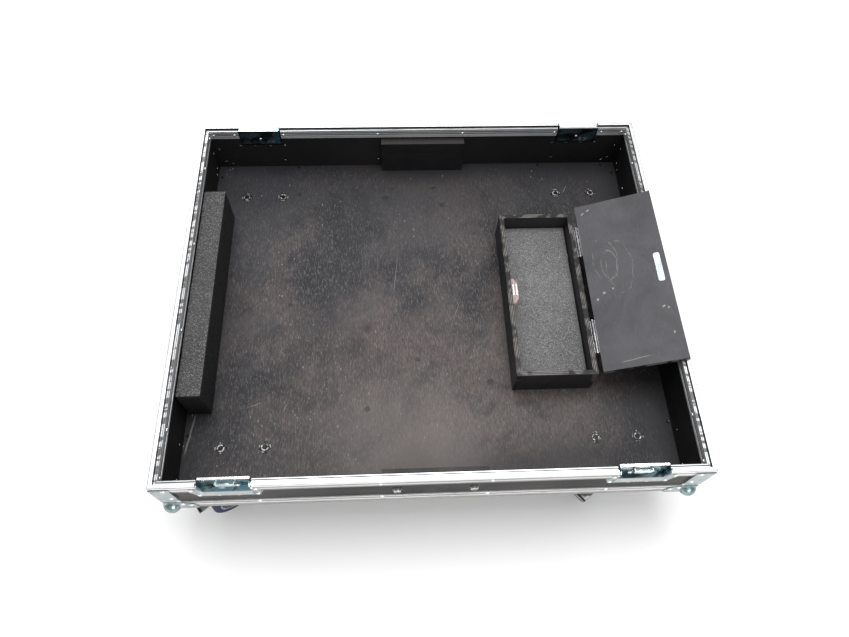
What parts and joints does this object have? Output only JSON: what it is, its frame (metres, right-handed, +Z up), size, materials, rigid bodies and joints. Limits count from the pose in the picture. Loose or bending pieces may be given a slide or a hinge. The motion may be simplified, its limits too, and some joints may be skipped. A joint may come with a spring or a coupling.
{
  "type": "flight case base tray",
  "caption": "Open wheeled plywood tray with aluminium edges, steel ball corners, recessed latch keepers, swivel castors and a small tool box with a hinged lid.",
  "frame": {"origin": "on the ground under the middle of the tray, at the bottom centre of the bounding box", "axes": "+X along the long side towards the tool box, +Y to the rear, +Z up"},
  "size_m": [0.9578, 0.8018, 0.2659],
  "materials": {
    "shell_plywood": "phenol-faced birch plywood, near black, satin, scuffed",
    "floor_plywood": "stained dark plywood, mottled and dented, satin",
    "aluminium_edge": "anodised extrusion, satin with fine draw lines",
    "zinc_steel": "zinc-plated pressed steel, bluish, polished",
    "rivet_steel": "bright zinc-plated fasteners",
    "castor_steel": "zinc-plated pressed steel",
    "blue_tyre": "blue elastic rubber tread",
    "hub_plastic": "grey moulded nylon",
    "box_plywood": "black-stained plywood with pale veneer edges",
    "foam": "closed-cell foam, matte, fine grain",
    "block_wood": "wood block painted black",
    "catch_wood": "bare wood, pale pinkish",
    "bright_steel": "bright zinc-plated steel"
  },
  "bodies": {
    "base": {"front_panel": "shell_plywood", "rear_panel": "shell_plywood", "left_panel": "shell_plywood", "right_panel": "shell_plywood", "floor_panel": "floor_plywood", "rim_front": "aluminium_edge", "rim_rear": "aluminium_edge", "rim_left": "aluminium_edge", "rim_right": "aluminium_edge", "bottom_edge_front": "aluminium_edge", "bottom_edge_rear": "aluminium_edge", "bottom_edge_left": "aluminium_edge", "bottom_edge_right": "aluminium_edge", "corner_posts": "aluminium_edge", "corner_braces": "zinc_steel", "ball_corners": "zinc_steel", "latch_dish_front_left": "zinc_steel", "latch_dish_front_right": "zinc_steel", "latch_dish_rear_left": "zinc_steel", "latch_dish_rear_right": "zinc_steel", "latch_keepers": "zinc_steel", "case_rivets": "rivet_steel", "t_nuts": "rivet_steel", "m8_bolts": "rivet_steel", "wood_screws": "rivet_steel", "castor_plates": "castor_steel", "box_left_wall": "box_plywood", "box_right_wall": "box_plywood", "box_front_wall": "box_plywood", "box_rear_wall": "box_plywood", "box_foam": "foam", "foam_block": "foam", "rear_block": "block_wood", "front_block": "block_wood", "catch_body": "catch_wood", "catch_poles": "bright_steel", "box_hinge_leaves": "bright_steel", "hinge_pins": "bright_steel"},
    "tool_lid": {"lid_panel": "box_plywood", "strike_plate": "bright_steel", "lid_hinge_leaves": "bright_steel", "lid_screws": "rivet_steel"},
    "swivel_front_left": {"castor_fork_front_left": "castor_steel", "castor_axle_front_left": "castor_steel"},
    "wheel_front_left": {"castor_tyre_front_left": "blue_tyre", "castor_hub_front_left": "hub_plastic"},
    "pedal_front_left": {"brake_pedal_front_left": "castor_steel"},
    "swivel_front_right": {"castor_fork_front_right": "castor_steel", "castor_axle_front_right": "castor_steel"},
    "wheel_front_right": {"castor_tyre_front_right": "blue_tyre", "castor_hub_front_right": "hub_plastic"},
    "pedal_front_right": {"brake_pedal_front_right": "castor_steel"},
    "swivel_rear_right": {"castor_fork_rear_right": "castor_steel", "castor_axle_rear_right": "castor_steel"},
    "wheel_rear_right": {"castor_tyre_rear_right": "blue_tyre", "castor_hub_rear_right": "hub_plastic"},
    "swivel_rear_left": {"castor_fork_rear_left": "castor_steel", "castor_axle_rear_left": "castor_steel"},
    "wheel_rear_left": {"castor_tyre_rear_left": "blue_tyre", "castor_hub_rear_left": "hub_plastic"}
  },
  "joints": [
    {"name": "tool_lid_hinge", "type": "hinge", "parent": "base", "child": "tool_lid", "pos_m": [0.317, 0, 0.2075], "axis": [0, -1, 0], "range_deg": [0, 158.8]},
    {"name": "swivel_front_left", "type": "hinge", "parent": "base", "child": "swivel_front_left", "pos_m": [-0.3475, -0.3185, 0.115], "axis": [0, 0, 1], "continuous": true},
    {"name": "spin_front_left", "type": "hinge", "parent": "swivel_front_left", "child": "wheel_front_left", "pos_m": [-0.37785, -0.34137, 0.05], "axis": [0.6018, -0.7986, 0], "continuous": true},
    {"name": "brake_front_left", "type": "hinge", "parent": "swivel_front_left", "child": "pedal_front_left", "pos_m": [-0.40021, -0.35822, 0.101], "axis": [0.6018, -0.7986, 0], "range_deg": [0, 14]},
    {"name": "swivel_front_right", "type": "hinge", "parent": "base", "child": "swivel_front_right", "pos_m": [0.3475, -0.3185, 0.115], "axis": [0, 0, 1], "continuous": true},
    {"name": "spin_front_right", "type": "hinge", "parent": "swivel_front_right", "child": "wheel_front_right", "pos_m": [0.31839, -0.34293, 0.05], "axis": [0.6428, -0.766, 0], "continuous": true},
    {"name": "brake_front_right", "type": "hinge", "parent": "swivel_front_right", "child": "pedal_front_right", "pos_m": [0.29694, -0.36092, 0.101], "axis": [0.6428, -0.766, 0], "range_deg": [0, 14]},
    {"name": "swivel_rear_right", "type": "hinge", "parent": "base", "child": "swivel_rear_right", "pos_m": [0.3475, 0.3185, 0.115], "axis": [0, 0, 1], "continuous": true},
    {"name": "spin_rear_right", "type": "hinge", "parent": "swivel_rear_right", "child": "wheel_rear_right", "pos_m": [0.31882, 0.29357, 0.05], "axis": [0.6561, -0.7547, 0], "continuous": true},
    {"name": "swivel_rear_left", "type": "hinge", "parent": "base", "child": "swivel_rear_left", "pos_m": [-0.3475, 0.3185, 0.115], "axis": [0, 0, 1], "continuous": true},
    {"name": "spin_rear_left", "type": "hinge", "parent": "swivel_rear_left", "child": "wheel_rear_left", "pos_m": [-0.38222, 0.30304, 0.05], "axis": [0.4067, -0.9135, 0], "continuous": true}
  ]
}
